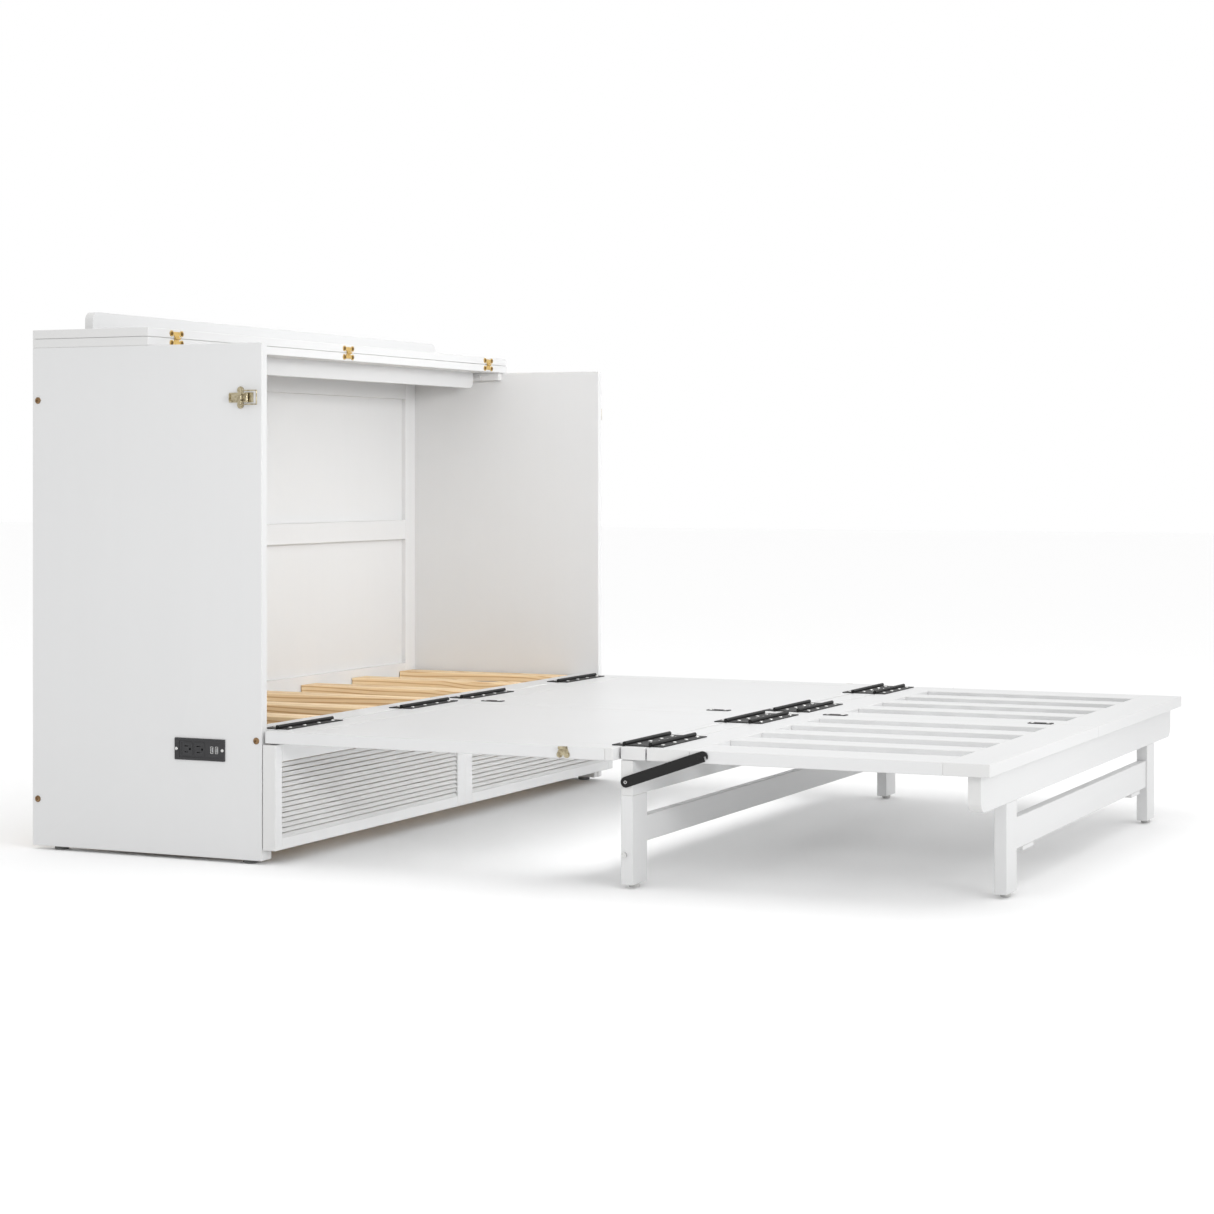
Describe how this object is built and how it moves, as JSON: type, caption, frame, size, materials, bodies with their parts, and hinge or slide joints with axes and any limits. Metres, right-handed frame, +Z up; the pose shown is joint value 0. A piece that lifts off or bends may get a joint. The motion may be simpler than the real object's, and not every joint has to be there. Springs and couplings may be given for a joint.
{
  "type": "murphy cabinet bed",
  "caption": "White murphy cabinet bed, opened: a cabinet with folded lid, louvred drawer and pine slats, a fold-down panel, and a slatted foot section on folding legs",
  "frame": {"origin": "middle of the opened bed's footprint, on the floor", "axes": "+Z up, +Y towards the cabinet at the head, +X to the right seen from the foot"},
  "size_m": [1.6668, 2.078, 1.1355],
  "materials": {
    "white_wood": "satin white paint on wood",
    "pine": "clear finished pine",
    "drawer_wood": "plain sanded wood",
    "black_steel": "black powder coat",
    "bronze": "dark bronze",
    "brass": "brass plated",
    "zinc_steel": "zinc plated",
    "black_plastic": "fine textured"
  },
  "bodies": {
    "cabinet": {"side_panel_left": "white_wood", "side_panel_right": "white_wood", "back_frame": "white_wood", "back_panels": "white_wood", "top_board": "white_wood", "top_rail": "white_wood", "top_cleats": "white_wood", "deck_front_rail": "white_wood", "slat_ledgers": "white_wood", "pine_slats": "pine", "base_battens": "white_wood", "cabinet_glides": "black_plastic", "cap_bolts": "bronze", "socket_plate": "black_plastic", "socket_body": "black_plastic", "latch_base_left": "brass", "latch_base_right": "brass", "drawer_runners": "zinc_steel", "deck_hinge_leaves": "black_steel", "top_hinge_leaves": "brass"},
    "lid": {"lid_board": "white_wood", "lid_rail": "white_wood", "lid_hinge_leaves": "brass"},
    "latch_lever_left": {"latch_lever_left": "brass"},
    "latch_lever_right": {"latch_lever_right": "brass"},
    "latch_loop_left": {"latch_loop_left": "brass"},
    "latch_loop_right": {"latch_loop_right": "brass"},
    "mid_panel": {"mid_stiles": "white_wood", "mid_rails": "white_wood", "mid_panels": "white_wood", "mid_plates": "black_steel", "panel_catches": "brass", "mid_hinge_leaves": "black_steel"},
    "bridge": {"bridge_rail": "white_wood", "bridge_hinge_plates": "black_steel", "leg1_hinge_tops": "zinc_steel"},
    "foot_section": {"foot_rails": "white_wood", "foot_boards": "white_wood", "foot_underframe": "white_wood", "foot_plates": "black_steel", "foot_hinge_leaves": "black_steel", "leg2_hinge_tops": "zinc_steel"},
    "leg_frame_1": {"leg1_rail": "white_wood", "leg1_legs": "white_wood", "leg1_stretcher": "white_wood", "leg1_glides": "black_plastic", "leg1_fittings": "zinc_steel"},
    "leg_frame_2": {"leg2_rail": "white_wood", "leg2_legs": "white_wood", "leg2_stretcher": "white_wood", "leg2_glides": "black_plastic", "leg2_hinge_leaves": "zinc_steel"},
    "stay_left": {"stay_left": "black_steel"},
    "stay_right": {"stay_right": "black_steel"},
    "drawer": {"drawer_frame": "white_wood", "drawer_louvres": "white_wood", "drawer_ends": "drawer_wood", "drawer_sides": "drawer_wood", "drawer_bottom": "drawer_wood", "drawer_slides": "zinc_steel"}
  },
  "joints": [
    {"name": "lid_fold", "type": "hinge", "parent": "cabinet", "child": "lid", "pos_m": [0, 0.744, 1.07685], "axis": [1, 0, 0], "range_deg": [0, 180]},
    {"name": "mid_fold", "type": "hinge", "parent": "cabinet", "child": "mid_panel", "pos_m": [0, 0.466, 0.2755], "axis": [-1, 0, 0], "range_deg": [0, 90]},
    {"name": "bridge_fold", "type": "hinge", "parent": "mid_panel", "child": "bridge", "pos_m": [0, -0.311, 0.2755], "axis": [-1, 0, 0], "range_deg": [0, 170]},
    {"name": "foot_fold", "type": "hinge", "parent": "bridge", "child": "foot_section", "pos_m": [0, -0.3655, 0.2755], "axis": [-1, 0, 0], "range_deg": [0, 10]},
    {"name": "leg1_fold", "type": "hinge", "parent": "bridge", "child": "leg_frame_1", "pos_m": [0, -0.3405, 0.244], "axis": [-1, 0, 0], "range_deg": [0, 90]},
    {"name": "leg2_fold", "type": "hinge", "parent": "foot_section", "child": "leg_frame_2", "pos_m": [0, -0.99, 0.244], "axis": [1, 0, 0], "range_deg": [0, 90]},
    {"name": "stay_left_swing", "type": "hinge", "parent": "leg_frame_1", "child": "stay_left", "pos_m": [-0.7945, -0.3255, 0.205], "axis": [1, 0, 0], "range_deg": [0, 104]},
    {"name": "stay_right_swing", "type": "hinge", "parent": "leg_frame_1", "child": "stay_right", "pos_m": [0.7945, -0.3255, 0.205], "axis": [1, 0, 0], "range_deg": [0, 104]},
    {"name": "drawer_slide", "type": "slide", "parent": "cabinet", "child": "drawer", "axis": [0, -1, 0], "range_m": [0, 0.4]},
    {"name": "latch_lever_left_turn", "type": "hinge", "parent": "cabinet", "child": "latch_lever_left", "pos_m": [-0.827, 0.503, 0.947], "axis": [0, 0, 1], "range_deg": [0, 150]},
    {"name": "latch_loop_left_turn", "type": "hinge", "parent": "latch_lever_left", "child": "latch_loop_left", "pos_m": [-0.831, 0.5145, 0.947], "axis": [0, 0, -1], "range_deg": [0, 150]},
    {"name": "latch_lever_right_turn", "type": "hinge", "parent": "cabinet", "child": "latch_lever_right", "pos_m": [0.827, 0.503, 0.947], "axis": [0, 0, -1], "range_deg": [0, 150]},
    {"name": "latch_loop_right_turn", "type": "hinge", "parent": "latch_lever_right", "child": "latch_loop_right", "pos_m": [0.831, 0.5145, 0.947], "axis": [0, 0, 1], "range_deg": [0, 150]}
  ],
  "couplings": [
    {"joint": "latch_loop_left_turn", "follows": "latch_lever_left_turn", "ratio": 1},
    {"joint": "latch_loop_right_turn", "follows": "latch_lever_right_turn", "ratio": 1}
  ]
}
